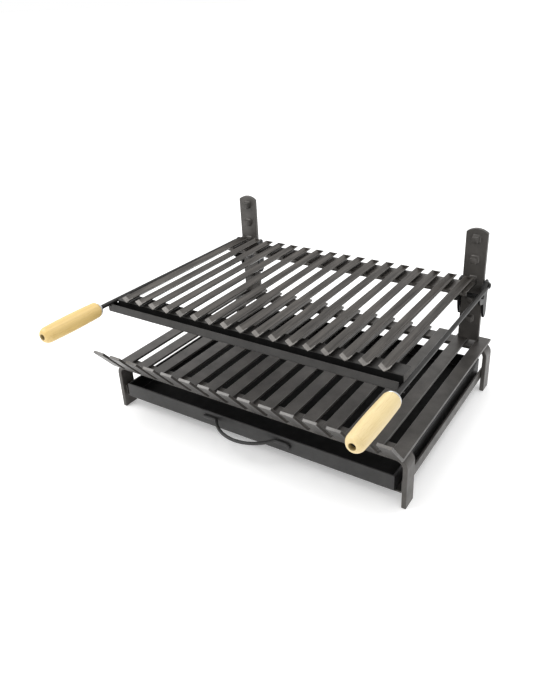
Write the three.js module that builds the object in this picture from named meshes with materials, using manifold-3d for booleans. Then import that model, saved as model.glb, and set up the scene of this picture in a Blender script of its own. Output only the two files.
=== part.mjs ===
// Hibachi grill: a slatted charcoal grate on two leg frames, with an ash drawer below and a
// height-adjustable grill of V channels on two pegged uprights. Units are millimetres, +Z is up,
// +X is to the right and -Y is the front, where the grips and the drawer handle are.
// The origin is on the floor, under the middle of the bounding box.
import * as THREE from 'three';
import { mergeVertices } from 'three/addons/utils/BufferGeometryUtils.js';
import Module from 'manifold-3d';

// ---- driving dimensions ----
const FIT_GAP = 0.3;                 // between pieces that touch
const LEG_WIDTH = 600;               // over both legs
const LEG_BAR = { thick: 8, deep: 30, outerRadius: 20 };
const LEG_TOP = 94.5;
const FRONT_FRAME_Y = -133;          // front face of the front leg frame
const REAR_FRAME_Y = 250;            // front face of the rear leg frame

const SLAT = { count: 15, pitch: 40.5, width: 24.5, thick: 5, rearY: 286 };
const FINGER = { bendY: -137, length: 62, tilt: THREE.MathUtils.degToRad(50), innerRadius: 6 };

const RAIL = { height: 23, flange: 25, thick: 3, bottom: 23.4, frontY: -127, rearY: 274 };
const DRAWER = { halfWidth: 279, frontY: -132, rearY: 277, top: 56, sheet: 1.5 };
const HANDLE = { radius: 3, halfChord: 62, reach: 30, footEnd: 90, z: 46, droop: 2 };

const UPRIGHT = { x: 256.5, width: 40.5, thick: 8, frontY: 263.7, shoulder: 318.7, top: 326 };
const PEG = { size: 12, reach: 11, lowest: 147, pitch: 40, count: 5 };

const CARRIER = {
  side: 1.3, thick: 4, rearY: 284, frontY: 262, bottom: 151, top: 227.5, chamfer: 12, topChamfer: 9,
};
const LUG = { y: 246, z: 201, radius: 14 };
const CROSS_PIN = { radius: 4, y: 243, z: 204, overhang: 4 };
const PIVOT = { y: 261, z: 221, radius: 3, headRadius: 5.5, headLength: 4 };

const ARM = { radius: 4, rearX: 286.6, rearY: 254, straightY: 236, bendY: -150 };
const EYE = { radius: 8, thick: 5, neckY: 238 };
const GRIP = { radius: 15.25, length: 120, frontY: -286, rounding: 9 };
const FERRULE = { radius: 13, length: 4.2 };

const BAR = { count: 17, pitch: 31.7, width: 18.3, depth: 9.3, sheet: 1.5 };
const BAR_BOTTOM = 229.4;
const BAR_FRONT_Y = -125.5;
const BAR_REAR_Y = 248.5;
const CROSSBAR = { halfWidth: 266, frontY: 196, rearY: 246, thick: 3, lip: 8 };
const GUTTER = { halfWidth: 290, frontY: -136.2, rearY: -119, flangeY: -90, bottom: 210, frontTop: 226 };
const GUTTER_SHEET = 1.5;

// ---- values that follow ----
const SLAT_BOTTOM = LEG_TOP + FIT_GAP;
const SLAT_TOP = SLAT_BOTTOM + SLAT.thick;
const DRAWER_BOTTOM = RAIL.bottom + RAIL.thick + FIT_GAP;
const CARRIER_INNER_X = UPRIGHT.x - UPRIGHT.width / 2 - CARRIER.side;
const CARRIER_OUTER_X = UPRIGHT.x + UPRIGHT.width / 2 + CARRIER.side;
const REST_TOP = BAR_BOTTOM - FIT_GAP;  // top of what the V channels lie on

// ---- materials ----
const steel = (color, roughness) => new THREE.MeshStandardMaterial({ color, roughness, metalness: 0.6 });
const grateSteel = steel(0x4d4a48, 0.55);
const drawerSteel = steel(0x3c3938, 0.6);
const carrierSteel = steel(0x242221, 0.6);
const grillSteel = steel(0x55514f, 0.45);
const zinc = new THREE.MeshStandardMaterial({ color: 0xc9cbcc, roughness: 0.3, metalness: 0.9 });
const wood = new THREE.MeshStandardMaterial({ color: 0xe6cf9a, roughness: 0.65, metalness: 0 });

// The arms are bent by hand, so each side has its own arm height and grip axis.
const SIDES = [
  { name: 'left', sign: -1, armZ: 223.5, gripX: 286.6, gripZ: 227 },
  { name: 'right', sign: 1, armZ: 219.5, gripX: 285.8, gripZ: 216 },
];
const grill = new THREE.Group();
const wasm = await Module();
wasm.setup();

// ---- helpers ----
function addPiece(name, geometry, material) {
  const mesh = new THREE.Mesh(geometry, material);
  mesh.name = name;
  grill.add(mesh);
  return mesh;
}

// A shape drawn in (Y, Z), extruded along +X from x0 to x1.
function extrudeX(shape, x0, x1, curveSegments = 8) {
  const geometry = new THREE.ExtrudeGeometry(shape, { depth: x1 - x0, bevelEnabled: false, curveSegments });
  const basis = new THREE.Matrix4().makeBasis(
    new THREE.Vector3(0, 1, 0), new THREE.Vector3(0, 0, 1), new THREE.Vector3(1, 0, 0));
  return geometry.applyMatrix4(basis).translate(x0, 0, 0);
}

// The same piece on the left or the right, from distances to the middle plane.
function extrudeSide(sign, shape, near, far, curveSegments) {
  return sign > 0 ? extrudeX(shape, near, far, curveSegments) : extrudeX(shape, -far, -near, curveSegments);
}

// A shape drawn in (X, Z), extruded along Y from y0 to y1.
function extrudeY(shape, y0, y1, curveSegments = 8) {
  const geometry = new THREE.ExtrudeGeometry(shape, { depth: y1 - y0, bevelEnabled: false, curveSegments });
  const basis = new THREE.Matrix4().makeBasis(
    new THREE.Vector3(1, 0, 0), new THREE.Vector3(0, 0, 1), new THREE.Vector3(0, -1, 0));
  return geometry.applyMatrix4(basis).translate(0, y1, 0);
}

function box(x0, x1, y0, y1, z0, z1) {
  const geometry = new THREE.BoxGeometry(x1 - x0, y1 - y0, z1 - z0);
  return geometry.translate((x0 + x1) / 2, (y0 + y1) / 2, (z0 + z1) / 2);
}

function polygon(points) {
  return new THREE.Shape(points.map(([u, v]) => new THREE.Vector2(u, v)));
}

function toSolid(geometry) {
  const bare = geometry.clone();
  bare.deleteAttribute('normal');
  bare.deleteAttribute('uv');
  const merged = mergeVertices(bare);
  const vertProperties = merged.attributes.position.array;
  const triVerts = new Uint32Array(merged.index.array);
  return new wasm.Manifold(new wasm.Mesh({ numProp: 3, vertProperties, triVerts }));
}

function toGeometry(solid) {
  const { vertProperties, triVerts } = solid.getMesh();
  const geometry = new THREE.BufferGeometry();
  geometry.setAttribute('position', new THREE.BufferAttribute(new Float32Array(vertProperties), 3));
  geometry.setIndex(new THREE.BufferAttribute(new Uint32Array(triVerts), 1));
  geometry.computeVertexNormals();
  return geometry;
}

function join(...geometries) {
  return toGeometry(geometries.map(toSolid).reduce((whole, next) => whole.add(next)));
}

// A turned piece on the X axis; profile points are (radius, distance along +X or -X).
function turnedX(profile, sign, y, z, segments = 24) {
  const points = profile.map(([radius, along]) => new THREE.Vector2(radius, along));
  const geometry = new THREE.LatheGeometry(points, segments);
  return geometry.rotateZ(-sign * Math.PI / 2).translate(0, y, z);
}

// A round rod along a list of points.
function rod(points, radius, steps, smooth) {
  const circle = new THREE.Shape().absarc(0, 0, radius, 0, 2 * Math.PI);
  const corners = points.map(([x, y, z]) => new THREE.Vector3(x, y, z));
  const path = smooth ? new THREE.CatmullRomCurve3(corners) : new THREE.CurvePath();
  if (!smooth) {
    for (let i = 1; i < corners.length; i += 1) {
      path.add(new THREE.LineCurve3(corners[i - 1], corners[i]));
    }
  }
  return new THREE.ExtrudeGeometry(circle, { steps, extrudePath: path, curveSegments: 6 });
}

// ---- base ----
// One flat bar bent into a U and stood on its two ends.
function legFrameShape() {
  const outer = LEG_WIDTH / 2;
  const inner = outer - LEG_BAR.thick;
  const bendX = outer - LEG_BAR.outerRadius;
  const bendZ = LEG_TOP - LEG_BAR.outerRadius;
  const innerRadius = LEG_BAR.outerRadius - LEG_BAR.thick;
  const shape = new THREE.Shape();
  shape.moveTo(inner, 0);
  shape.lineTo(outer, 0);
  shape.absarc(bendX, bendZ, LEG_BAR.outerRadius, 0, Math.PI / 2);
  shape.absarc(-bendX, bendZ, LEG_BAR.outerRadius, Math.PI / 2, Math.PI);
  shape.lineTo(-outer, 0);
  shape.lineTo(-inner, 0);
  shape.absarc(-bendX, bendZ, innerRadius, Math.PI, Math.PI / 2, true);
  shape.absarc(bendX, bendZ, innerRadius, Math.PI / 2, 0, true);
  return shape;
}

function addLegFrames() {
  const shape = legFrameShape();
  addPiece('front_leg_frame', extrudeY(shape, FRONT_FRAME_Y, FRONT_FRAME_Y + LEG_BAR.deep), grateSteel);
  addPiece('rear_leg_frame', extrudeY(shape, REAR_FRAME_Y, REAR_FRAME_Y + LEG_BAR.deep), grateSteel);
}

// A flat slat whose front end is bent up into a finger that keeps the coals in.
function slatShape() {
  const { bendY, length, tilt, innerRadius } = FINGER;
  const outerRadius = innerRadius + SLAT.thick;
  const centreZ = SLAT_TOP + innerRadius;
  const along = new THREE.Vector2(-Math.cos(tilt), Math.sin(tilt)).multiplyScalar(length);
  const bendEnd = -Math.PI / 2 - tilt;
  const onBend = (radius) => new THREE.Vector2(
    bendY + radius * Math.cos(bendEnd), centreZ + radius * Math.sin(bendEnd));
  const tipTop = onBend(innerRadius).add(along);
  const shape = new THREE.Shape();
  shape.moveTo(SLAT.rearY, SLAT_TOP);
  shape.lineTo(bendY, SLAT_TOP);
  shape.absarc(bendY, centreZ, innerRadius, -Math.PI / 2, bendEnd, true);
  shape.lineTo(tipTop.x, tipTop.y);
  shape.lineTo(...onBend(outerRadius).add(along).toArray());
  shape.absarc(bendY, centreZ, outerRadius, bendEnd, -Math.PI / 2, false);
  shape.lineTo(SLAT.rearY, SLAT_BOTTOM);
  return shape;
}

function addSlats() {
  const shape = slatShape();
  for (let i = 0; i < SLAT.count; i += 1) {
    const x = (i - (SLAT.count - 1) / 2) * SLAT.pitch;
    const name = `grate_slat_${String(i + 1).padStart(2, '0')}`;
    addPiece(name, extrudeX(shape, x - SLAT.width / 2, x + SLAT.width / 2, 5), grateSteel);
  }
}

// Angle rails inside the legs; the drawer's edges slide on their lower flanges.
function addRails() {
  const outer = LEG_WIDTH / 2 - LEG_BAR.thick - FIT_GAP;
  for (const { name, sign } of SIDES) {
    const shape = polygon([
      [sign * outer, RAIL.bottom],
      [sign * outer, RAIL.bottom + RAIL.height],
      [sign * (outer - RAIL.thick), RAIL.bottom + RAIL.height],
      [sign * (outer - RAIL.thick), RAIL.bottom + RAIL.thick],
      [sign * (outer - RAIL.flange), RAIL.bottom + RAIL.thick],
      [sign * (outer - RAIL.flange), RAIL.bottom],
    ]);
    addPiece(`${name}_drawer_rail`, extrudeY(shape, RAIL.frontY, RAIL.rearY), grateSteel);
  }
}

// An upright is a flat bar with a domed top and a column of square pegs on its front.
function uprightShape() {
  const half = UPRIGHT.width / 2;
  const rise = UPRIGHT.top - UPRIGHT.shoulder;
  const domeRadius = (half * half + rise * rise) / (2 * rise);
  const halfAngle = Math.asin(half / domeRadius);
  const shape = new THREE.Shape();
  shape.moveTo(-half, SLAT_TOP + FIT_GAP);
  shape.lineTo(half, SLAT_TOP + FIT_GAP);
  shape.absarc(0, UPRIGHT.top - domeRadius, domeRadius, Math.PI / 2 - halfAngle, Math.PI / 2 + halfAngle);
  return shape;
}

function addUprights() {
  const overlap = 1;
  for (const { name, sign } of SIDES) {
    const bar = extrudeY(uprightShape(), UPRIGHT.frontY, UPRIGHT.frontY + UPRIGHT.thick);
    const pegs = [];
    for (let i = 0; i < PEG.count; i += 1) {
      const z = PEG.lowest + i * PEG.pitch;
      const half = PEG.size / 2;
      pegs.push(box(-half, half, UPRIGHT.frontY - PEG.reach, UPRIGHT.frontY + overlap, z - half, z + half));
    }
    const geometry = join(bar, ...pegs).translate(sign * UPRIGHT.x, 0, 0);
    addPiece(`${name}_upright`, geometry, grateSteel);
  }
}

// ---- ash drawer ----
function addDrawer() {
  const { halfWidth, frontY, rearY, top, sheet } = DRAWER;
  const block = toSolid(box(-halfWidth, halfWidth, frontY, rearY, DRAWER_BOTTOM, top));
  const inside = toSolid(box(sheet - halfWidth, halfWidth - sheet, frontY + sheet, rearY - sheet,
    DRAWER_BOTTOM + sheet, top + sheet));
  addPiece('ash_drawer', toGeometry(block.subtract(inside)), drawerSteel);
}

// The handle is one bent wire: an arc reaching forward, with a straight foot at each end.
function addDrawerHandle() {
  const { radius, halfChord, reach, footEnd, z, droop } = HANDLE;
  const footY = DRAWER.frontY - radius - 2 * FIT_GAP;
  const arcRadius = (halfChord * halfChord + reach * reach) / (2 * reach);
  const halfAngle = Math.asin(halfChord / arcRadius);
  const centreY = footY - reach + arcRadius;
  const footMiddle = (footEnd + halfChord) / 2;
  const points = [[-footEnd, footY, z], [-footMiddle, footY, z], [-halfChord - radius, footY, z]];
  const arcSteps = 12;
  for (let i = 1; i < arcSteps; i += 1) {
    const angle = halfAngle * (2 * i / arcSteps - 1);
    const forward = 1 - Math.abs(angle / halfAngle);
    points.push([arcRadius * Math.sin(angle), centreY - arcRadius * Math.cos(angle), z - droop * forward]);
  }
  points.push([halfChord + radius, footY, z], [footMiddle, footY, z], [footEnd, footY, z]);
  addPiece('drawer_handle', rod(points, radius, 44, true), drawerSteel);
}

// ---- carriage that climbs the uprights ----
// The side of a carrier: a plate beside the upright with a rounded lug in front for the cross pin.
function carrierSideShape(hasPivot) {
  const { frontY, rearY, bottom, top, chamfer, topChamfer } = CARRIER;
  const shape = new THREE.Shape();
  shape.moveTo(rearY, bottom + chamfer);
  shape.lineTo(rearY, top - topChamfer);
  shape.lineTo(rearY - topChamfer, top);
  shape.lineTo(frontY - 2, top);
  shape.lineTo(LUG.y, LUG.z + LUG.radius);
  shape.absarc(LUG.y, LUG.z, LUG.radius, Math.PI / 2, 3 * Math.PI / 2);
  shape.lineTo(frontY, LUG.z - LUG.radius - 6);
  shape.lineTo(frontY, bottom + chamfer);
  shape.lineTo(frontY + chamfer / 2, bottom);
  shape.lineTo(rearY - chamfer, bottom);
  shape.holes.push(new THREE.Path().absarc(CROSS_PIN.y, CROSS_PIN.z, CROSS_PIN.radius + FIT_GAP, 0, 2 * Math.PI));
  if (hasPivot) {
    shape.holes.push(new THREE.Path().absarc(PIVOT.y, PIVOT.z, PIVOT.radius + FIT_GAP, 0, 2 * Math.PI));
  }
  return shape;
}

function addCarriers() {
  const { thick, rearY, bottom, top, chamfer, topChamfer } = CARRIER;
  for (const { name, sign } of SIDES) {
    const inner = extrudeSide(sign, carrierSideShape(false), CARRIER_INNER_X - thick, CARRIER_INNER_X, 10);
    const outer = extrudeSide(sign, carrierSideShape(true), CARRIER_OUTER_X, CARRIER_OUTER_X + thick, 10);
    const web = polygon([
      [rearY - thick, bottom + chamfer], [rearY, bottom + chamfer],
      [rearY, top - topChamfer], [rearY - thick, top - topChamfer],
    ]);
    const back = extrudeSide(sign, web, CARRIER_INNER_X - thick / 2, CARRIER_OUTER_X + thick / 2);
    addPiece(`${name}_carrier`, join(inner, outer, back), carrierSteel);
  }
}

function addCrossPins() {
  const { radius, overhang, y, z } = CROSS_PIN;
  const start = CARRIER_INNER_X - CARRIER.thick - overhang;
  const end = CARRIER_OUTER_X + CARRIER.thick + overhang;
  const profile = [[0, start], [radius - 1, start], [radius, start + 1], [radius, end - 1], [radius - 1, end], [0, end]];
  for (const { name, sign } of SIDES) {
    addPiece(`${name}_cross_pin`, turnedX(profile, sign, y, z), carrierSteel);
  }
}

// The bolt that an arm turns on: its shank is fixed in the carrier's outer side.
function addPivotBolts() {
  const { radius, headRadius, headLength, y, z } = PIVOT;
  const start = CARRIER_OUTER_X - 2 * FIT_GAP;
  const head = CARRIER_OUTER_X + CARRIER.thick + EYE.thick + 2 * FIT_GAP;
  const end = head + headLength;
  const profile = [
    [0, start], [radius, start], [radius, head], [headRadius, head],
    [headRadius, end - 1.5], [headRadius - 1.5, end], [0, end],
  ];
  for (const { name, sign } of SIDES) {
    addPiece(`${name}_pivot_bolt`, turnedX(profile, sign, y, z), carrierSteel);
  }
}

// ---- upper grill ----
// An open-topped V channel with its rear end closed, so that fat runs forward.
function barShapes() {
  const { width, depth, sheet } = BAR;
  const top = BAR_BOTTOM + depth;
  const wallTop = sheet * Math.SQRT2;
  const vee = polygon([
    [0, BAR_BOTTOM], [width / 2, top], [width / 2 - wallTop, top],
    [0, BAR_BOTTOM + wallTop], [wallTop - width / 2, top], [-width / 2, top],
  ]);
  const plate = polygon([[0, BAR_BOTTOM], [width / 2, top], [-width / 2, top]]);
  return { vee, plate };
}

function addBars() {
  const { vee, plate } = barShapes();
  const channel = extrudeY(vee, BAR_FRONT_Y, BAR_REAR_Y);
  const end = extrudeY(plate, BAR_REAR_Y - BAR.sheet, BAR_REAR_Y);
  const bar = join(channel, end);
  for (let i = 0; i < BAR.count; i += 1) {
    const x = (i - (BAR.count - 1) / 2) * BAR.pitch;
    addPiece(`grill_bar_${String(i + 1).padStart(2, '0')}`, bar.clone().translate(x, 0, 0), grillSteel);
  }
}

// The bars lie on a flat bar with a turned-down front edge at the back.
function addCrossbar() {
  const { halfWidth, frontY, rearY, thick, lip } = CROSSBAR;
  const shape = polygon([
    [frontY, REST_TOP], [frontY, REST_TOP - lip], [frontY + thick, REST_TOP - lip],
    [frontY + thick, REST_TOP - thick], [rearY, REST_TOP - thick], [rearY, REST_TOP],
  ]);
  addPiece('rear_crossbar', extrudeX(shape, -halfWidth, halfWidth), grillSteel);
}

// The height of an arm's middle at a distance along Y, between its two bends.
function armHeight({ armZ, gripZ }, y) {
  return THREE.MathUtils.mapLinear(y, ARM.straightY, ARM.bendY, armZ, gripZ);
}

// A folded trough under the bars' open front ends, with a flange that carries the bars.
// Its ends are notched from above, where the arms pass over them.
function addGutter() {
  const { halfWidth, frontY, rearY, flangeY, bottom, frontTop } = GUTTER;
  const sheet = GUTTER_SHEET;
  const fold = polygon([
    [frontY, bottom], [rearY + sheet, bottom], [rearY + sheet, REST_TOP - sheet],
    [flangeY, REST_TOP - sheet], [flangeY, REST_TOP], [rearY, REST_TOP],
    [rearY, bottom + sheet], [frontY + sheet, bottom + sheet], [frontY + sheet, frontTop], [frontY, frontTop],
  ]);
  const endPlate = polygon([[frontY, bottom], [rearY + sheet, bottom], [rearY + sheet, frontTop], [frontY, frontTop]]);
  const trough = extrudeX(fold, -halfWidth, halfWidth);
  const ends = SIDES.map(({ sign }) => extrudeSide(sign, endPlate, halfWidth - sheet, halfWidth));
  const notches = SIDES.map((side) => {
    const armLowest = Math.min(armHeight(side, frontY), armHeight(side, flangeY)) - ARM.radius;
    const near = Math.min(ARM.rearX, side.gripX) - ARM.radius - FIT_GAP;
    const opening = polygon([
      [frontY - 1, armLowest - FIT_GAP], [flangeY + 1, armLowest - FIT_GAP],
      [flangeY + 1, REST_TOP + 1], [frontY - 1, REST_TOP + 1],
    ]);
    return extrudeSide(side.sign, opening, near, halfWidth + 1);
  });
  const plain = toSolid(join(trough, ...ends));
  const notched = notches.map(toSolid).reduce((whole, notch) => whole.subtract(notch), plain);
  addPiece('grease_gutter', toGeometry(notched), grillSteel);
}

// An arm is a round rod with a flattened eye at its rear end, and runs through its grip.
function armEyeShape(armZ) {
  const neckTop = armZ + ARM.radius;
  const neckBottom = armZ - ARM.radius;
  const angleAt = (z) => Math.PI - Math.asin((z - PIVOT.z) / EYE.radius);
  const shape = new THREE.Shape();
  shape.moveTo(EYE.neckY, neckBottom);
  shape.absarc(PIVOT.y, PIVOT.z, EYE.radius, angleAt(neckBottom) - 2 * Math.PI, angleAt(neckTop), false);
  shape.lineTo(EYE.neckY, neckTop);
  shape.holes.push(new THREE.Path().absarc(PIVOT.y, PIVOT.z, PIVOT.radius + FIT_GAP, 0, 2 * Math.PI));
  return shape;
}

function addArms() {
  const { radius, rearX, rearY, straightY, bendY } = ARM;
  const tipInset = 5;
  const eyeX = CARRIER_OUTER_X + CARRIER.thick + FIT_GAP;
  for (const { name, sign, armZ, gripX, gripZ } of SIDES) {
    const bar = rod([
      [sign * rearX, rearY, armZ], [sign * rearX, straightY, armZ],
      [sign * gripX, bendY, gripZ], [sign * gripX, GRIP.frontY + tipInset, gripZ],
    ], radius, 24, false);
    const eye = extrudeSide(sign, armEyeShape(armZ), eyeX, eyeX + EYE.thick, 10);
    addPiece(`${name}_grill_arm`, join(bar, eye), grillSteel);
  }
}

// A bored, turned grip. Its profile is (radius, distance from the front end).
function gripGeometry() {
  const { radius, length, rounding } = GRIP;
  const bore = ARM.radius + FIT_GAP;
  const points = [new THREE.Vector2(bore, 0)];
  const roundSteps = 5;
  for (let i = 0; i <= roundSteps; i += 1) {
    const angle = i / roundSteps * Math.PI / 2;
    points.push(new THREE.Vector2(
      radius - rounding + rounding * Math.sin(angle), rounding - rounding * Math.cos(angle)));
  }
  for (let i = 0; i <= roundSteps; i += 1) {
    const angle = i / roundSteps * Math.PI / 2;
    points.push(new THREE.Vector2(
      radius - rounding + rounding * Math.cos(angle), length - rounding + rounding * Math.sin(angle)));
  }
  points.push(new THREE.Vector2(bore, length), new THREE.Vector2(bore, 0));
  return new THREE.LatheGeometry(points, 28);
}

function addGrips() {
  const bore = ARM.radius + FIT_GAP;
  const { radius, length } = FERRULE;
  const ring = [[bore, 0], [radius, 0], [radius, length], [bore, length], [bore, 0]];
  const ringPoints = ring.map(([r, along]) => new THREE.Vector2(r, along));
  for (const { name, sign, gripX, gripZ } of SIDES) {
    const grip = addPiece(`${name}_wooden_grip`, gripGeometry(), wood);
    grip.position.set(sign * gripX, GRIP.frontY, gripZ);
    const ferrule = addPiece(`${name}_ferrule`, new THREE.LatheGeometry(ringPoints, 24), zinc);
    ferrule.position.set(sign * gripX, GRIP.frontY + GRIP.length + FIT_GAP, gripZ);
  }
}

addLegFrames();
addSlats();
addRails();
addUprights();
addDrawer();
addDrawerHandle();
addCarriers();
addCrossPins();
addPivotBolts();
addBars();
addCrossbar();
addGutter();
addArms();
addGrips();

export default grill;
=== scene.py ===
"""Hibachi grill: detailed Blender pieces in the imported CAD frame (metres, +Z up, front at -Y).

Most positions come from the CAD nodes' boxes; sheet thicknesses, bends and a few fixed places are
given here. The pieces are bent flat bars, folded sheets, wires and turned parts, and all have
procedural materials.
"""
import math

import bmesh
import bpy
from mathutils import Matrix, Vector


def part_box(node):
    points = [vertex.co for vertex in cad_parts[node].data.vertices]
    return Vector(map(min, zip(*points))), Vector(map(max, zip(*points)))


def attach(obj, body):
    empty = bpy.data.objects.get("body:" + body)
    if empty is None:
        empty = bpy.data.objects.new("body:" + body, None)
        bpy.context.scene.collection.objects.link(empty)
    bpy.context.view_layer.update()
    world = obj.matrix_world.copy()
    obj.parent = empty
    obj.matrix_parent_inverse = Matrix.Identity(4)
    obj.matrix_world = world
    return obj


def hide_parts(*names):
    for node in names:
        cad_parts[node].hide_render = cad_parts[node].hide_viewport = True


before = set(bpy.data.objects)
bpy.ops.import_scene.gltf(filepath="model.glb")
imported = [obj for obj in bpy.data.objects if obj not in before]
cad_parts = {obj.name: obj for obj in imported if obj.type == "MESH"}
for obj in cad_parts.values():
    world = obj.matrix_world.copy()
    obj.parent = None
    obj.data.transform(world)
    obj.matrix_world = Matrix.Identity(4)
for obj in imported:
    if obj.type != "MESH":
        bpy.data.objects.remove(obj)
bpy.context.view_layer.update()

MM = 0.001
SIDES = (("left", -1), ("right", 1))
SECOND_SLOT = 1                     # index of a piece's second material


# ---------- small geometry helpers ----------
def link_mesh(name, mesh):
    obj = bpy.data.objects.new(name, mesh)
    bpy.context.scene.collection.objects.link(obj)
    return obj


def shade(obj, sharp_deg, bevel=0.0, segments=2):
    """Smooth shading with the sharp edges kept or, where a bevel is given, rounded."""
    for face in obj.data.polygons:
        face.use_smooth = True
    if bevel > 0:
        mod = obj.modifiers.new("rounded_edges", "BEVEL")
        mod.width = bevel
        mod.segments = segments
        mod.limit_method = "ANGLE"
        mod.angle_limit = math.radians(sharp_deg)
        mod.use_clamp_overlap = True
        mod.harden_normals = True
    else:
        obj.data.set_sharp_from_angle(angle=math.radians(sharp_deg))
    return obj


def from_bmesh(name, bm):
    bmesh.ops.recalc_face_normals(bm, faces=bm.faces)
    mesh = bpy.data.meshes.new(name)
    bm.to_mesh(mesh)
    bm.free()
    return link_mesh(name, mesh)


def loft(name, rings):
    """A closed body through rings that all have the same number of points."""
    bm = bmesh.new()
    levels = [[bm.verts.new(point) for point in ring] for ring in rings]
    count = len(rings[0])
    for low, high in zip(levels, levels[1:]):
        for i in range(count):
            j = (i + 1) % count
            bm.faces.new((low[i], low[j], high[j], high[i]))
    bm.faces.new(levels[0])
    bm.faces.new(levels[-1])
    return from_bmesh(name, bm)


def rounded(points, radius, steps):
    """A 2-D polyline with arcs for corners; radius is one number, or one for each point."""
    radii = radius if isinstance(radius, (list, tuple)) else [radius] * len(points)
    result = [Vector(points[0])]
    for i in range(1, len(points) - 1):
        before, corner, after = (Vector(points[k]) for k in (i - 1, i, i + 1))
        to_before = (before - corner).normalized()
        to_after = (after - corner).normalized()
        opening = to_before.angle(to_after)
        run = radii[i] / math.tan(opening / 2)
        centre = corner + (to_before + to_after).normalized() * (radii[i] / math.sin(opening / 2))
        start = corner + to_before * run - centre
        end = corner + to_after * run - centre
        sweep = start.angle_signed(end)
        for k in range(steps + 1):
            angle = -sweep * k / steps
            result.append(centre + Matrix.Rotation(angle, 2) @ start)
    result.append(Vector(points[-1]))
    return result


def sheet_outline(centreline, thickness):
    """The outline of a bent sheet: its centreline set off by half its thickness on each side."""
    left, right = [], []
    last = len(centreline) - 1
    for i, point in enumerate(centreline):
        before = (point - centreline[i - 1]).normalized() if i > 0 else None
        after = (centreline[i + 1] - point).normalized() if i < last else None
        along = (before + after).normalized() if before and after else (before or after)
        normal = Vector((-along.y, along.x))
        straight = before if before else after
        reach = thickness / 2 / max(0.3, normal.dot(Vector((-straight.y, straight.x))))
        left.append(point + normal * reach)
        right.append(point - normal * reach)
    return left + right[::-1]


def prism(name, outline, axis, start, end, rings=1, cuts=()):
    """A 2-D outline drawn out along an axis, with equal rings and any extra cuts.

    The outline is in (y, z) for axis X and in (x, z) for axis Y.
    """
    place = {
        "X": lambda p, t: (t, p[0], p[1]),
        "Y": lambda p, t: (p[0], t, p[1]),
    }[axis]
    levels = sorted([start + (end - start) * i / rings for i in range(rings + 1)] + list(cuts))
    return loft(name, [[place(p, t) for p in outline] for t in levels])


def wire(name, points, radius, sides=20):
    """A round rod along a list of points, with its ends chamfered."""
    chamfer, end_scale = radius * 0.25, 0.72
    spots = [Vector(p) for p in points]
    first = (spots[1] - spots[0]).normalized()
    side = first.cross(Vector((0, 0, 1)))
    if side.length < 0.1:
        side = first.cross(Vector((1, 0, 0)))
    side.normalize()
    rings = []
    previous = first
    for i, spot in enumerate(spots):
        into = spots[min(i + 1, len(spots) - 1)] - spots[max(i - 1, 0)]
        along = into.normalized()
        side = previous.rotation_difference(along) @ side
        side = (side - along * side.dot(along)).normalized()
        up = along.cross(side)
        previous = along
        scales = [(0, 1.0)]
        if i == 0:
            scales = [(0, end_scale), (chamfer, 1.0)]
        if i == len(spots) - 1:
            scales = [(-chamfer, 1.0), (0, end_scale)]
        for offset, scale in scales:
            centre = spot + along * offset
            rings.append([
                centre + (side * math.cos(a) + up * math.sin(a)) * radius * scale
                for a in (2 * math.pi * k / sides for k in range(sides))
            ])
    return loft(name, rings)


def turned(name, profile, axis, centre, segments):
    """A turned part on the X or Y axis; profile is (radius, distance along the axis).

    The profile starts and ends on the axis or, for a ring, closes on itself.
    """
    ring = profile[0] == profile[-1]
    outline = profile[:-1] if ring else profile
    along = {"X": Vector((1, 0, 0)), "Y": Vector((0, 1, 0))}[axis]
    out = Vector((0, 0, 1))
    across = along.cross(out)
    bm = bmesh.new()
    loops = []
    for radius, distance in outline:
        base = Vector(centre) + along * distance
        if radius < 1e-7:
            loops.append([bm.verts.new(base)])
            continue
        loops.append([
            bm.verts.new(base + (out * math.cos(a) + across * math.sin(a)) * radius)
            for a in (2 * math.pi * k / segments for k in range(segments))
        ])
    pairs = list(zip(loops, loops[1:]))
    if ring:
        pairs.append((loops[-1], loops[0]))
    for low, high in pairs:
        for k in range(segments):
            n = (k + 1) % segments
            corners = (low[k % len(low)], low[n % len(low)], high[n % len(high)], high[k % len(high)])
            unique = list(dict.fromkeys(corners))
            if len(unique) > 2:
                bm.faces.new(unique)
    return from_bmesh(name, bm)


def arc(centre, radius, start_deg, end_deg, steps):
    """Points of a circular arc in 2-D."""
    x, y = centre
    angles = (math.radians(start_deg + (end_deg - start_deg) * i / steps) for i in range(steps + 1))
    return [Vector((x + radius * math.cos(a), y + radius * math.sin(a))) for a in angles]


def finish_piece(obj, material, slot, body, *nodes):
    """Gives a piece its material, and says which body it rides on and which nodes it replaces."""
    obj.data.materials.clear()
    obj.data.materials.append(material)
    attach(obj, body)
    if nodes:
        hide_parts(*nodes)


def second_material(obj, material, chosen):
    """Gives another material to the faces that the test picks."""
    obj.data.materials.append(material)
    for face in obj.data.polygons:
        if chosen(face):
            face.material_index = SECOND_SLOT


def paint_tip_highlight(obj, direction):
    """Gives the faces that look along the direction a lighter coat: a painted highlight on the cut
    ends.
    """
    second_material(obj, TIP_EDGE_HIGHLIGHT, lambda face: face.normal.dot(direction) > 0.97)


def merged(name, objects):
    """Joins meshes into one object, with their modifiers applied first."""
    graph = bpy.context.evaluated_depsgraph_get()
    bm = bmesh.new()
    for obj in objects:
        mesh = bpy.data.meshes.new_from_object(obj.evaluated_get(graph))
        mesh.transform(obj.matrix_world)
        bm.from_mesh(mesh)
        bpy.data.meshes.remove(mesh)
    mesh = bpy.data.meshes.new(name)
    bm.to_mesh(mesh)
    bm.free()
    for obj in objects:
        bpy.data.objects.remove(obj)
    return link_mesh(name, mesh)


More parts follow.
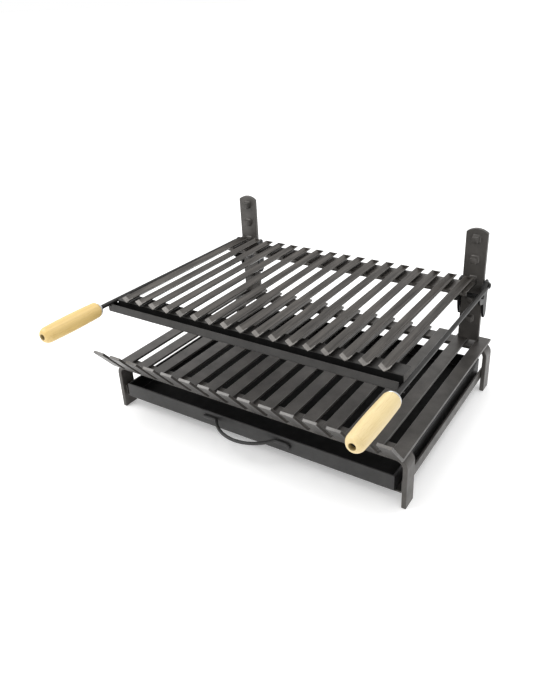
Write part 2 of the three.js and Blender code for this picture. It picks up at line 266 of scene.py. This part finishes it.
# ---------- materials ----------
class Nodes:
    """A short way to write a node tree."""

    def __init__(self, name):
        self.material = bpy.data.materials.new(name)
        self.material.use_nodes = True
        self.tree = self.material.node_tree
        self.shader = self.tree.nodes["Principled BSDF"]

    def add(self, kind, **values):
        node = self.tree.nodes.new(kind)
        for key, value in values.items():
            if key in node.inputs.keys():
                node.inputs[key].default_value = value
            else:
                setattr(node, key, value)
        return node

    def link(self, a, b):
        self.tree.links.new(a, b)

    def place(self, scale=(1, 1, 1)):
        coords = self.add("ShaderNodeTexCoord")
        mapping = self.add("ShaderNodeMapping")
        mapping.inputs["Scale"].default_value = scale
        self.link(coords.outputs["Object"], mapping.inputs["Vector"])
        return mapping.outputs["Vector"]

    def noise(self, vector, scale, detail):
        node = self.add("ShaderNodeTexNoise", Scale=scale, Detail=detail, Roughness=0.55)
        self.link(vector, node.inputs["Vector"])
        return node.outputs["Fac"]

    def ramp(self, fac, stops):
        node = self.add("ShaderNodeValToRGB")
        elements = node.color_ramp.elements
        while len(elements) < len(stops):
            elements.new(0.5)
        for element, (position, color) in zip(elements, stops):
            element.position = position
            element.color = (*color, 1)
        self.link(fac, node.inputs["Fac"])
        return node.outputs["Color"]

    def bump(self, height, strength, distance):
        node = self.add("ShaderNodeBump", Strength=strength, Distance=distance)
        self.link(height, node.inputs["Height"])
        self.link(node.outputs["Normal"], self.shader.inputs["Normal"])


def grey(value, warm=0.0):
    return (value * (1 + warm), value, value * (1 - warm))


def coated_steel(name, dark, light, rough_low, rough_high, warm, specular=0.5, stretch=(1, 1, 1)):
    """Steel with a thin coat: clouds, drawn into streaks by a stretch, and a fine orange peel."""
    n = Nodes(name)
    even = n.place()
    clouds = n.noise(n.place(stretch), 26.0, 5.0)
    fine = n.noise(even, 900.0, 3.0)
    mix = n.add("ShaderNodeMix", data_type="RGBA", blend_type="MULTIPLY")
    mix.inputs["Factor"].default_value = 0.45
    n.link(n.ramp(clouds, [(0.32, grey(dark, warm)), (0.7, grey(light, warm))]), mix.inputs["A"])
    n.link(n.ramp(fine, [(0.35, grey(0.62)), (0.62, grey(1.0))]), mix.inputs["B"])
    n.link(mix.outputs["Result"], n.shader.inputs["Base Color"])
    n.link(n.ramp(n.noise(even, 60.0, 4.0), [(0.3, grey(rough_low)), (0.72, grey(rough_high))]),
           n.shader.inputs["Roughness"])
    n.shader.inputs["Metallic"].default_value = 0.35
    n.shader.inputs["Specular IOR Level"].default_value = specular
    n.bump(fine, 0.5, 0.00018)
    return n.material


def zinc_plate():
    n = Nodes("zinc_plate")
    brushed = n.place((6, 90, 90))
    streaks = n.noise(brushed, 8.0, 3.0)
    tones = n.ramp(streaks, [(0.3, (0.50, 0.51, 0.53)), (0.7, (0.80, 0.80, 0.79))])
    n.link(tones, n.shader.inputs["Base Color"])
    n.link(n.ramp(streaks, [(0.3, grey(0.22)), (0.7, grey(0.36))]), n.shader.inputs["Roughness"])
    n.shader.inputs["Metallic"].default_value = 0.95
    n.bump(streaks, 0.15, 0.0002)
    return n.material


def pale_wood(name, tint):
    """Turned pale hardwood with long growth lines and short pores along the grip."""
    n = Nodes(name)
    long_grain = n.place((1.0, 0.045, 1.0))
    wave = n.add("ShaderNodeTexWave", wave_type="RINGS", rings_direction="Y")
    wave.inputs["Scale"].default_value = 38.0
    wave.inputs["Distortion"].default_value = 5.0
    wave.inputs["Detail"].default_value = 3.0
    wave.inputs["Detail Scale"].default_value = 1.6
    n.link(long_grain, wave.inputs["Vector"])
    pores = n.noise(n.place((1.0, 0.03, 1.0)), 1500.0, 2.0)
    light = [value * 1.07 for value in tint]
    base = n.ramp(wave.outputs["Fac"], [(0.0, tint), (1.0, light)])
    tone = n.ramp(n.noise(n.place(), 22.0, 3.0), [(0.3, (0.97, 0.94, 0.88)), (0.7, (1, 1, 1))])
    mix = n.add("ShaderNodeMix", data_type="RGBA", blend_type="MULTIPLY")
    mix.inputs["Factor"].default_value = 0.8
    n.link(base, mix.inputs["A"])
    n.link(tone, mix.inputs["B"])
    speck = n.add("ShaderNodeMix", data_type="RGBA", blend_type="MULTIPLY")
    speck.inputs["Factor"].default_value = 0.3
    n.link(mix.outputs["Result"], speck.inputs["A"])
    n.link(n.ramp(pores, [(0.36, (0.72, 0.60, 0.42)), (0.46, (1, 1, 1))]), speck.inputs["B"])
    n.link(speck.outputs["Result"], n.shader.inputs["Base Color"])
    n.shader.inputs["Roughness"].default_value = 0.42
    n.shader.inputs["Coat Weight"].default_value = 0.15
    n.shader.inputs["Coat Roughness"].default_value = 0.3
    n.bump(pores, 0.25, 0.0002)
    return n.material


def plain_studio():
    """White paper that glows a little, which keeps all but the contact shadows faint."""
    n = Nodes("studio_floor")
    n.shader.inputs["Base Color"].default_value = (0.89, 0.89, 0.89, 1)
    n.shader.inputs["Emission Color"].default_value = (1, 1, 1, 1)
    n.shader.inputs["Emission Strength"].default_value = 0.25
    n.shader.inputs["Roughness"].default_value = 0.9
    n.shader.inputs["Specular IOR Level"].default_value = 0.1
    return n.material


GRATE = coated_steel("grate_coating", 0.050, 0.088, 0.34, 0.48, 0.08)
DRAWER = coated_steel("drawer_coating", 0.030, 0.045, 0.42, 0.55, 0.02)
CARRIER = coated_steel("carrier_coating", 0.008, 0.014, 0.38, 0.5, 0.0, specular=0.3)
GRILL = coated_steel("grill_coating", 0.036, 0.108, 0.32, 0.44, 0.10, stretch=(7, 0.4, 7))
ARM = coated_steel("arm_coating", 0.016, 0.028, 0.34, 0.46, 0.04, specular=0.35)
# near-black coat: painted shade inside the ash drawer and the gutter
SHADE_COAT = coated_steel("painted_shade", 0.008, 0.014, 0.7, 0.85, 0.02, specular=0.15)
# a darker copy of the grill steel for the gutter: painted shade under the bar ends
GUTTER_SHADED_COAT = coated_steel("gutter_painted_shade_coat", 0.024, 0.038, 0.40, 0.52, 0.06, specular=0.45)
# lighter, glossier coat on the bars' front ends: a painted glint
GLINT_END_COAT = coated_steel("painted_glint_end", 0.16, 0.30, 0.18, 0.30, 0.06)
# lighter coat on the slats' finger tips and bevelled edges: a painted highlight
TIP_EDGE_HIGHLIGHT = coated_steel("painted_tip_edge_highlight", 0.11, 0.16, 0.30, 0.42, 0.04)
ZINC = zinc_plate()
WOOD = {
    "left": pale_wood("golden_wood", (0.64, 0.465, 0.18)),
    "right": pale_wood("pale_wood", (0.67, 0.54, 0.285)),
}
# a dark copy of the wood for the grips' counterbore: painted shade in the hole
RECESS_SHADE = pale_wood("recess_painted_shade", (0.27, 0.20, 0.08))


# ---------- base ----------
EDGE = 0.7 * MM                     # rounding of flat bar edges
LEG_THICK = 8 * MM
SLAT_THICK = 5 * MM
FINGER_TILT = math.radians(50)
SLAT_COUNT = 15


def leg_frames():
    outer_radius = 20 * MM
    for which in ("front", "rear"):
        node = f"{which}_leg_frame"
        low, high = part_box(node)
        half = high.x - LEG_THICK / 2
        top = high.z - LEG_THICK / 2
        path = [(-half, low.z), (-half, top), (half, top), (half, low.z)]
        line = rounded(path, outer_radius - LEG_THICK / 2, 10)
        obj = prism(f"{which}_legs", sheet_outline(line, LEG_THICK), "Y", low.y, high.y, 3)
        shade(obj, 30, 1.3 * MM, 3)
        finish_piece(obj, GRATE, "grate_steel", "base", node)


def slats():
    bend_radius = 8.5 * MM
    for i in range(SLAT_COUNT):
        node = f"grate_slat_{i + 1:02d}"
        low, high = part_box(node)
        along = Vector((-math.cos(FINGER_TILT), math.sin(FINGER_TILT)))
        middle_z = low.z + SLAT_THICK / 2
        half = SLAT_THICK / 2
        tip = Vector((low.y + half * math.sin(FINGER_TILT), high.z - half * math.cos(FINGER_TILT)))
        reach = (tip.y - middle_z) / along.y
        corner = tip - along * reach
        line = rounded([(high.y, middle_z), tuple(corner), tuple(tip)], bend_radius, 7)
        obj = prism(f"slat_{i + 1:02d}", sheet_outline(line, SLAT_THICK), "X", low.x, high.x, 1)
        shade(obj, 30, EDGE, 2)
        obj.modifiers["rounded_edges"].material = SECOND_SLOT   # the bevelled edges get the same painted highlight
        finish_piece(obj, GRATE, "grate_steel", "base", node)
        paint_tip_highlight(obj, Vector((0, along.x, along.y)))


def rails():
    thick = 3 * MM
    for name, sign in SIDES:
        node = f"{name}_drawer_rail"
        low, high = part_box(node)
        wall = (high.x if sign > 0 else low.x) - sign * thick / 2
        inner = low.x if sign > 0 else high.x
        floor = low.z + thick / 2
        line = rounded([(wall, high.z), (wall, floor), (inner, floor)], 3.2 * MM, 5)
        obj = prism(f"{name}_rail", sheet_outline(line, thick), "Y", low.y, high.y, 2)
        shade(obj, 30, 0.5 * MM, 2)
        finish_piece(obj, GRATE, "grate_steel", "base", node)


def uprights():
    peg = 12 * MM
    pitch = 40 * MM
    lowest = 147 * MM
    peg_count = 5
    plate_thick = 8 * MM
    dome_rise = 7.3 * MM
    for name, _ in SIDES:
        node = f"{name}_upright"
        low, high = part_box(node)
        x = (low.x + high.x) / 2
        half = (high.x - low.x) / 2
        radius = (half * half + dome_rise * dome_rise) / (2 * dome_rise)
        angle = math.degrees(math.asin(half / radius))
        dome = arc((x, high.z - radius), radius, 90 - angle, 90 + angle, 14)
        outline = [Vector((x - half, low.z)), Vector((x + half, low.z))] + dome
        plate = shade(prism("plate", outline, "Y", high.y - plate_thick, high.y), 30, 0.8 * MM, 3)
        pieces = [plate]
        for i in range(peg_count):
            z = lowest + i * pitch
            face = high.y - plate_thick
            pieces.append(square_peg(x, z, face, low.y, peg))
        obj = merged(f"{name}_post", pieces)
        finish_piece(obj, GRATE, "grate_steel", "base", node)


def square_peg(x, z, face, tip, size):
    """A square stub with rounded corners and a small weld fillet where it meets the plate."""
    flare = 2.2 * MM
    rings = []
    stations = (
        (face + 0.5 * MM, flare), (face - 0.3 * MM, flare), (face - 1.2 * MM, flare * 0.45),
        (face - 2.4 * MM, 0.0), (tip + 0.9 * MM, 0.0), (tip + 0.25 * MM, -0.3 * MM),
        (tip, -0.9 * MM),
    )
    for y, grow in stations:
        half = size / 2 + grow
        corner = 1.6 * MM + max(grow, 0)
        ring = []
        for quarter, (cx, cz) in enumerate(((1, 1), (-1, 1), (-1, -1), (1, -1))):
            for point in arc((x + cx * (half - corner), z + cz * (half - corner)), corner,
                             90 * quarter, 90 * quarter + 90, 4):
                ring.append((point.x, y, point.y))
        rings.append(ring)
    return shade(loft("peg", rings), 40)


# ---------- drawer ----------
def ash_drawer():
    low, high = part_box("ash_drawer")
    sheet = 1.4 * MM
    hem = 4.5 * MM
    half = sheet / 2
    fold = sheet * 1.15                 # from a wall to the hem folded against it
    bend = 2.2 * MM
    end_flange = 14 * MM                # how far an end's foot reaches in along the floor
    # floor faces lower than this get the painted shade
    shade_height = 10 * MM

    def side_line(edge, middle, floor):
        """Centreline of one half of the tray: hemmed rim, wall and floor out to the middle."""
        out = 1 if edge > middle else -1
        wall = edge - out * half
        return [
            (wall - out * fold, high.z - hem), (wall - out * fold, high.z - half),
            (wall, high.z - half), (wall, floor), (middle, floor),
        ]

    floor = low.z + half
    radii = [0, 0.6 * MM, 0.6 * MM, bend, 0]
    left = rounded(side_line(low.x, 0, floor), radii, 4)
    right = rounded(side_line(high.x, 0, floor), radii, 4)
    across = left[:-1] + right[::-1][1:]
    trough = prism("trough", sheet_outline(across, sheet), "Y", low.y + sheet, high.y - sheet, 4)
    shade(trough, 50)
    ends = []
    for edge, inward in ((low.y, 1), (high.y, -1)):
        folded = edge + inward * (half + fold)
        line = rounded([
            (folded, high.z - hem), (folded, high.z - half),
            (edge + inward * half, high.z - half), (edge + inward * half, floor),
            (edge + inward * end_flange, floor),
        ], radii, 4)
        end = prism("end", sheet_outline(line, sheet), "X", low.x, high.x, 6)
        ends.append(shade(end, 50, 0.3 * MM, 1))
    obj = merged("drawer_tray", [trough] + ends)
    finish_piece(obj, DRAWER, "drawer_steel", "drawer", "ash_drawer")
    middle_y = (low.y + high.y) / 2

    # painted shade on the tray's inner walls and on its floor, under the grate
    def in_painted_shade(face):
        outward = Vector((face.center.x, face.center.y - middle_y, 0))
        upright = abs(face.normal.z) < 0.3 and face.center.z < high.z - 1 * MM
        on_floor = face.normal.z > 0.7 and face.center.z < low.z + shade_height
        return (upright and face.normal.dot(outward) < 0) or on_floor

    second_material(obj, SHADE_COAT, in_painted_shade)


def drawer_handle():
    low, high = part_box("drawer_handle")
    radius = 3 * MM
    foot_y = high.y - radius
    front = low.y + radius
    reach = foot_y - front
    half_chord = 62 * MM
    arc_radius = (half_chord ** 2 + reach ** 2) / (2 * reach)
    centre_y = front + arc_radius
    half_angle = math.asin(half_chord / arc_radius)
    foot_z = high.z - radius
    droop = high.z - low.z - 2 * radius
    foot = high.x
    turn = 7 * MM
    flat = [Vector((-foot, foot_y)), Vector((-half_chord, foot_y))]
    angles = [half_angle * (k / 14 - 1) for k in range(29)]
    bow = [Vector((arc_radius * math.sin(a), centre_y - arc_radius * math.cos(a))) for a in angles]
    left = rounded([tuple(flat[0]), tuple(flat[1]), tuple(bow[2])], 9 * MM, 6)
    right = [Vector((-p.x, p.y)) for p in left[::-1]]
    plan = left + bow[3:-3] + right
    points = []
    for p in plan:
        drop = droop * max(0.0, (foot_y - p.y) / reach)
        points.append(Vector((p.x, p.y, foot_z - drop)))
    end = points.pop()
    bend = 5 * MM
    for k in range(6):
        a = math.pi / 2 * k / 5
        x, z = end.x - bend + bend * math.sin(a), end.z - bend + bend * math.cos(a)
        points.append(Vector((x, end.y, z)))
    points.append(Vector((end.x, end.y, end.z - turn)))
    obj = shade(wire("handle_wire", points, radius), 60)
    finish_piece(obj, DRAWER, "drawer_steel", "drawer", "drawer_handle")


# ---------- carriage ----------
def carriers():
    """Brackets bent round the uprights: two sides with lugs at the front, and a web behind."""
    thick = 4 * MM
    chamfer = 12 * MM
    top_chamfer = 9 * MM
    lug_y, lug_z, lug_radius = 246 * MM, 201 * MM, 14 * MM
    lug_drop = 6 * MM                   # how far the lower edge falls from the lug to the bracket
    lug_least = 0.6 * MM                # half the lug's height at its tip
    front = 262 * MM
    turn = 5 * MM                       # bend radius of the centreline
    for name, sign in SIDES:
        node = f"{name}_carrier"
        low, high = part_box(node)
        inner, outer = (low.x, high.x) if sign > 0 else (high.x, low.x)
        inner += sign * thick / 2
        outer -= sign * thick / 2
        web = high.y - thick / 2
        tip = lug_y - lug_radius

        def z_range(y):
            """The plate's lower and upper edge at depth y."""
            if y < lug_y:
                rise = math.sqrt(max(lug_radius ** 2 - (y - lug_y) ** 2, lug_least ** 2))
                return lug_z - rise, lug_z + rise
            if y < front:
                share = (y - lug_y) / (front - lug_y)
                return (lug_z - lug_radius - lug_drop * share,
                        lug_z + lug_radius + min(1.0, share * 1.25) * (high.z - lug_z - lug_radius))
            bottom = low.z + max(chamfer - 2 * (y - front), 0.0, y - (high.y - chamfer))
            top = high.z - max(0.0, y - (high.y - top_chamfer))
            return bottom, top

        depths = [tip + lug_radius * (1 - math.cos(math.pi / 2 * k / 9)) for k in range(10)]
        depths += [lug_y + (front - lug_y) * k / 4 for k in range(1, 5)]
        depths += [front + 0.15 * MM, front + 3 * MM, front + chamfer / 2, front + 10 * MM]
        depths += [high.y - top_chamfer]
        corner_y = web - turn
        depths = [y for y in depths if y < corner_y - 1 * MM] + [corner_y]
        line = [(Vector((inner, y)), y) for y in depths]
        to_right = 1 if outer > inner else -1
        for k in range(1, 6):
            a = math.pi / 2 * k / 5
            y = corner_y + turn * math.sin(a)
            line.append((Vector((inner + to_right * turn * (1 - math.cos(a)), y)), y))
        line += [(Vector((inner + outer - p.x, p.y)), y) for p, y in line[::-1]]
        rings = []
        for i, (point, y) in enumerate(line):
            before = line[max(i - 1, 0)][0]
            after = line[min(i + 1, len(line) - 1)][0]
            along = (after - before).normalized()
            normal = Vector((-along.y, along.x)) * thick / 2
            bottom, top = z_range(y)
            a, b = point + normal, point - normal
            rings.append([(a.x, a.y, bottom), (b.x, b.y, bottom), (b.x, b.y, top), (a.x, a.y, top)])
        obj = shade(loft(f"{name}_bracket", rings), 40, 0.6 * MM, 2)
        finish_piece(obj, CARRIER, "carrier_steel", "carriage", node)


def cross_pins():
    """Short pins with a groove near each end."""
    for name, _ in SIDES:
        node = f"{name}_cross_pin"
        low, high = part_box(node)
        y, z = (low.y + high.y) / 2, (low.z + high.z) / 2
        r = (high.z - low.z) / 2
        length = high.x - low.x
        groove = 1.6 * MM
        end = [(0, 0), (r * 0.7, 0), (r, 0.9 * MM), (r, groove), (r * 0.82, groove + 0.2 * MM),
               (r * 0.82, groove + 0.9 * MM), (r, groove + 1.1 * MM)]
        profile = end + [(radius, length - along) for radius, along in end[::-1]]
        obj = shade(turned(f"{name}_pin", profile, "X", (low.x, y, z), 32), 35)
        finish_piece(obj, CARRIER, "carrier_steel", "carriage", node)


def pivot_bolts():
    """Plain shanks with domed heads on the outside."""
    for name, sign in SIDES:
        node = f"{name}_pivot_bolt"
        low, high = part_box(node)
        y, z = (low.y + high.y) / 2, (low.z + high.z) / 2
        head = (high.z - low.z) / 2
        shank = 3 * MM
        head_height = 4 * MM
        dome = 2.2 * MM
        length = high.x - low.x
        base = length - head_height
        profile = [(0, 0), (shank, 0), (shank, base), (head, base), (head, length - dome)]
        for k in range(1, 7):
            a = math.pi / 2 * k / 6
            profile.append((head * math.cos(a), length - dome + dome * math.sin(a)))
        profile[-1] = (0, length)
        if sign < 0:
            profile = [(r, -d) for r, d in profile]
        start = low.x if sign > 0 else high.x
        obj = shade(turned(f"{name}_bolt", profile, "X", (start, y, z), 32), 35)
        finish_piece(obj, CARRIER, "carrier_steel", "carriage", node)


# ---------- upper grill ----------
BAR_COUNT = 17
GRILL_SHEET = 1.5 * MM


def bars():
    """V-shaped channels, closed at the rear by a plate, with a painted glint on their front ends."""
    sheet = GRILL_SHEET
    glint_length = 9 * MM                       # length of the front end with the painted glint
    in_side = 1.6 * MM                  # from the channel's edge to the rear plate's corner
    for i in range(BAR_COUNT):
        node = f"grill_bar_{i + 1:02d}"
        low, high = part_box(node)
        x = (low.x + high.x) / 2
        inset = sheet / 2 * math.sqrt(2)
        half = (high.x - low.x) / 2 - inset / 2
        apex = low.z + inset
        top = high.z - inset / 2
        line = rounded([(x - half, top), (x, apex), (x + half, top)], 1.9 * MM, 5)
        section = sheet_outline(line, sheet)
        channel = prism("channel", section, "Y", low.y, high.y - sheet * 0.5, 2, [low.y + glint_length])
        shade(channel, 40, 0.3 * MM, 2)
        closing = [Vector((x, low.z + 0.4 * MM)), Vector((high.x - in_side, high.z - 0.9 * MM)),
                   Vector((low.x + in_side, high.z - 0.9 * MM))]
        plate = prism("plate", closing, "Y", high.y - sheet, high.y)
        shade(plate, 40, 0.3 * MM, 2)
        obj = merged(f"bar_{i + 1:02d}", [channel, plate])
        finish_piece(obj, GRILL, "grill_steel", "grill", node)

        # faces at the front end that don't face down get the painted glint
        def in_glint(face):
            return face.center.y < low.y + glint_length and face.normal.z > -0.3

        second_material(obj, GLINT_END_COAT, in_glint)


def crossbar():
    low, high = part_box("rear_crossbar")
    thick = 3 * MM
    lip_y, flat_z = low.y + thick / 2, high.z - thick / 2
    line = rounded([(lip_y, low.z), (lip_y, flat_z), (high.y, flat_z)], 2.6 * MM, 5)
    obj = prism("crossbar", sheet_outline(line, thick), "X", low.x, high.x, 4)
    shade(obj, 35, 0.4 * MM, 2)
    finish_piece(obj, GRILL, "grill_steel", "grill", "rear_crossbar")


def gutter():
    """A folded trough with a flange; its ends are cut down where the arms pass over them."""
    low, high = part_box("grease_gutter")
    sheet = GRILL_SHEET
    corner = 1.5 * MM
    half = sheet / 2
    front_top = 226 * MM
    rear_wall = -119 * MM + half
    arm_side = 281.6 * MM
    line = rounded([
        (low.y + half, front_top), (low.y + half, low.z + half), (rear_wall, low.z + half),
        (rear_wall, high.z - half), (high.y, high.z - half),
    ], 2.0 * MM, 5)
    trough = prism("trough", sheet_outline(line, sheet), "X", -arm_side, arm_side, 6)
    pieces = [shade(trough, 40, 0.3 * MM, 2)]
    for name, sign in SIDES:
        edge = high.x if sign > 0 else low.x
        notch = {"left": 222.3, "right": 211.8}[name] * MM
        line = rounded([
            (low.y + half, notch), (low.y + half, low.z + half),
            (rear_wall, low.z + half), (rear_wall, notch),
        ], 2.0 * MM, 5)
        end = prism("end", sheet_outline(line, sheet), "X", sign * (arm_side - 0.2 * MM), edge)
        pieces.append(shade(end, 40, 0.3 * MM, 2))
        outline = [Vector(point) for point in (
            (low.y, notch), (low.y, low.z + corner), (low.y + corner, low.z),
            (rear_wall, low.z), (rear_wall + half, low.z + corner), (rear_wall + half, notch),
        )]
        plate = prism("plate", outline, "X", edge - sign * sheet, edge)
        pieces.append(shade(plate, 40, 0.3 * MM, 2))
    obj = merged("gutter", pieces)
    finish_piece(obj, GUTTER_SHADED_COAT, "grill_steel", "grill", "grease_gutter")

    # painted shade on the trough's inner walls and floor, under the bar ends
    def in_gutter_shade(face):
        middle_y = (low.y + rear_wall) / 2
        facing_in = face.normal.y * (face.center.y - middle_y) < 0 and abs(face.normal.y) > 0.7
        return face.center.y < rear_wall and face.center.z < high.z - 2 * MM and (
            facing_in or (face.normal.z > 0.7 and face.center.z < low.z + 4 * MM))

    second_material(obj, SHADE_COAT, in_gutter_shade)


def arms():
    """Bent rods from the grips to flat eyes at the pivots; the eyes have no bores."""
    radius = 4 * MM
    pivot_y, pivot_z = 261 * MM, 221 * MM
    rear_y, eye_foot = 254 * MM, 240 * MM
    straight_y, bend_y, grip_y = 236 * MM, -150 * MM, -200 * MM
    eye_thick = 5 * MM
    for name, sign in SIDES:
        node = f"{name}_grill_arm"
        low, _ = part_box(node)
        grip_low, grip_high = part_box(f"{name}_wooden_grip")
        front_x, front_z = (grip_low.x + grip_high.x) / 2, (grip_low.z + grip_high.z) / 2
        rear_x = sign * 286.6 * MM
        rear_z = {"left": 223.5, "right": 219.5}[name] * MM
        points = []
        stations = [(rear_y, 0.0), (eye_foot, 0.0)]
        stations += [(straight_y - (straight_y - bend_y) * k / 12, k / 12) for k in range(13)]
        stations += [(grip_y, 1.0), (low.y, 1.0)]
        for y, share in stations:
            x, z = rear_x + (front_x - rear_x) * share, rear_z + (front_z - rear_z) * share
            points.append((x, y, z))
        bar = shade(wire("bar", points, radius), 60)
        eye_x = sign * 282.3 * MM
        eye_radius = 8 * MM
        outline = [Vector((eye_foot, rear_z - radius))]
        outline += arc((pivot_y, pivot_z), eye_radius, -131, 131, 18)
        outline.append(Vector((eye_foot, rear_z + radius)))
        eye = prism("eye", outline, "X", eye_x, eye_x + sign * eye_thick)
        shade(eye, 35, 0.8 * MM, 3)
        obj = merged(f"{name}_arm", [bar, eye])
        finish_piece(obj, ARM, "grill_steel", "grill", node)


def grips():
    """Turned grips: a rounded front with a counterbore, a slight swell and a rear shoulder."""
    for name, _ in SIDES:
        node = f"{name}_wooden_grip"
        low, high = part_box(node)
        x, z = (low.x + high.x) / 2, (low.z + high.z) / 2
        radius = (high.x - low.x) / 2
        length = high.y - low.y
        hole = 4.9 * MM
        lip = hole + 0.7 * MM
        dome = 12.5 * MM
        depth = 7 * MM
        shoulder = 5 * MM
        profile = [(0, depth), (hole, depth), (hole, 0.6 * MM), (lip, 0.0)]
        for k in range(1, 15):
            a = math.pi / 2 * k / 14
            profile.append((lip + (radius * 0.945 - lip) * math.sin(a), dome * (1 - math.cos(a))))
        for k in range(1, 16):
            t = k / 16
            swell = 0.945 + 0.055 * math.sin(math.pi * min(1.0, t * 1.02))
            profile.append((radius * swell, dome + (length - dome - shoulder) * t))
        for k in range(0, 9):
            a = math.pi / 2 * k / 8
            r = radius * 0.94 - 2.6 * MM * (1 - math.cos(a))
            profile.append((r, length - shoulder + shoulder * math.sin(a)))
        profile.append((0, length))
        obj = shade(turned(f"{name}_grip", profile, "Y", (x, low.y, z), 56), 50)
        finish_piece(obj, WOOD[name], "wood", "grill", node)

        def in_recess(face):
            off_axis = math.hypot(face.center.x - x, face.center.z - z)
            return off_axis < lip and face.center.y < low.y + depth + 0.1 * MM

        # the counterbore's faces get the painted shade
        second_material(obj, RECESS_SHADE, in_recess)


def ferrules():
    """Small caps behind the grips, bored for the arms, with a rim in front and a rounded back."""
    for name, _ in SIDES:
        node = f"{name}_ferrule"
        low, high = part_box(node)
        x, z = (low.x + high.x) / 2, (low.z + high.z) / 2
        radius = (high.x - low.x) / 2
        length = high.y - low.y
        bore = 4.35 * MM
        profile = [(bore, 0), (radius - 0.5 * MM, 0), (radius, 0.5 * MM), (radius, 1.2 * MM),
                   (radius * 0.965, 1.7 * MM)]
        for k in range(1, 7):
            a = math.pi / 2 * k / 6
            r = radius * 0.965 - 3 * MM * (1 - math.cos(a))
            profile.append((r, 1.7 * MM + (length - 1.7 * MM) * math.sin(a)))
        profile += [(bore + 1 * MM, length), (bore, length - 0.4 * MM), (bore, 0)]
        obj = shade(turned(f"{name}_collar", profile, "Y", (x, low.y, z), 48), 40)
        finish_piece(obj, ZINC, "zinc", "grill", node)


# ---------- stage ----------
def floor():
    size = 60.0
    mesh = bpy.data.meshes.new("floor")
    corners = [(-size, -size, 0), (size, -size, 0), (size, size, 0), (-size, size, 0)]
    mesh.from_pydata(corners, [], [(0, 1, 2, 3)])
    obj = link_mesh("floor", mesh)
    obj.data.materials.append(plain_studio())


def area_light(name, position, target, size, power):
    data = bpy.data.lights.new(name, "AREA")
    data.shape = "RECTANGLE"
    data.size, data.size_y = size
    data.energy = power
    obj = bpy.data.objects.new(name, data)
    obj.location = position
    obj.rotation_euler = (Vector(target) - Vector(position)).to_track_quat("-Z", "Y").to_euler()
    bpy.context.scene.collection.objects.link(obj)


def lights():
    world = bpy.data.worlds.new("studio")
    bpy.context.scene.world = world
    world.use_nodes = True
    background = world.node_tree.nodes["Background"]
    background.inputs["Color"].default_value = (1.0, 1.0, 1.0, 1)
    background.inputs["Strength"].default_value = 1.0
    area_light("key", (-1.3, -0.9, 1.9), (0, 0, 0.1), (1.4, 1.4), 24)
    area_light("top", (0.2, 0.6, 2.2), (0, 0, 0.1), (1.6, 1.6), 14)


def camera():
    """The viewing direction: azimuth from straight ahead, elevation and a small roll."""
    azimuth, elevation, roll = math.radians(33.0), math.radians(26.2), math.radians(-2.41)
    position = Vector((0.588, -0.875, 0.7204))
    forward = Vector((
        -math.sin(azimuth) * math.cos(elevation), math.cos(azimuth) * math.cos(elevation),
        -math.sin(elevation),
    ))
    level = Vector((math.cos(azimuth), math.sin(azimuth), 0))
    up = level.cross(forward)
    right = level * math.cos(roll) + up * math.sin(roll)
    up = right.cross(forward)
    data = bpy.data.cameras.new("view")
    data.sensor_fit = "HORIZONTAL"
    data.sensor_width = 36
    data.lens = 43.99
    data.shift_x = -0.0407
    data.shift_y = -0.0588
    obj = bpy.data.objects.new("view", data)
    turn = Matrix((right, up, -forward)).transposed()
    obj.matrix_world = Matrix.Translation(position) @ turn.to_4x4()
    bpy.context.scene.collection.objects.link(obj)
    bpy.context.scene.camera = obj


camera()
leg_frames()
slats()
rails()
uprights()
ash_drawer()
drawer_handle()
carriers()
cross_pins()
pivot_bolts()
bars()
crossbar()
gutter()
arms()
grips()
ferrules()
floor()
lights()
bpy.context.scene.view_settings.view_transform = "Standard"
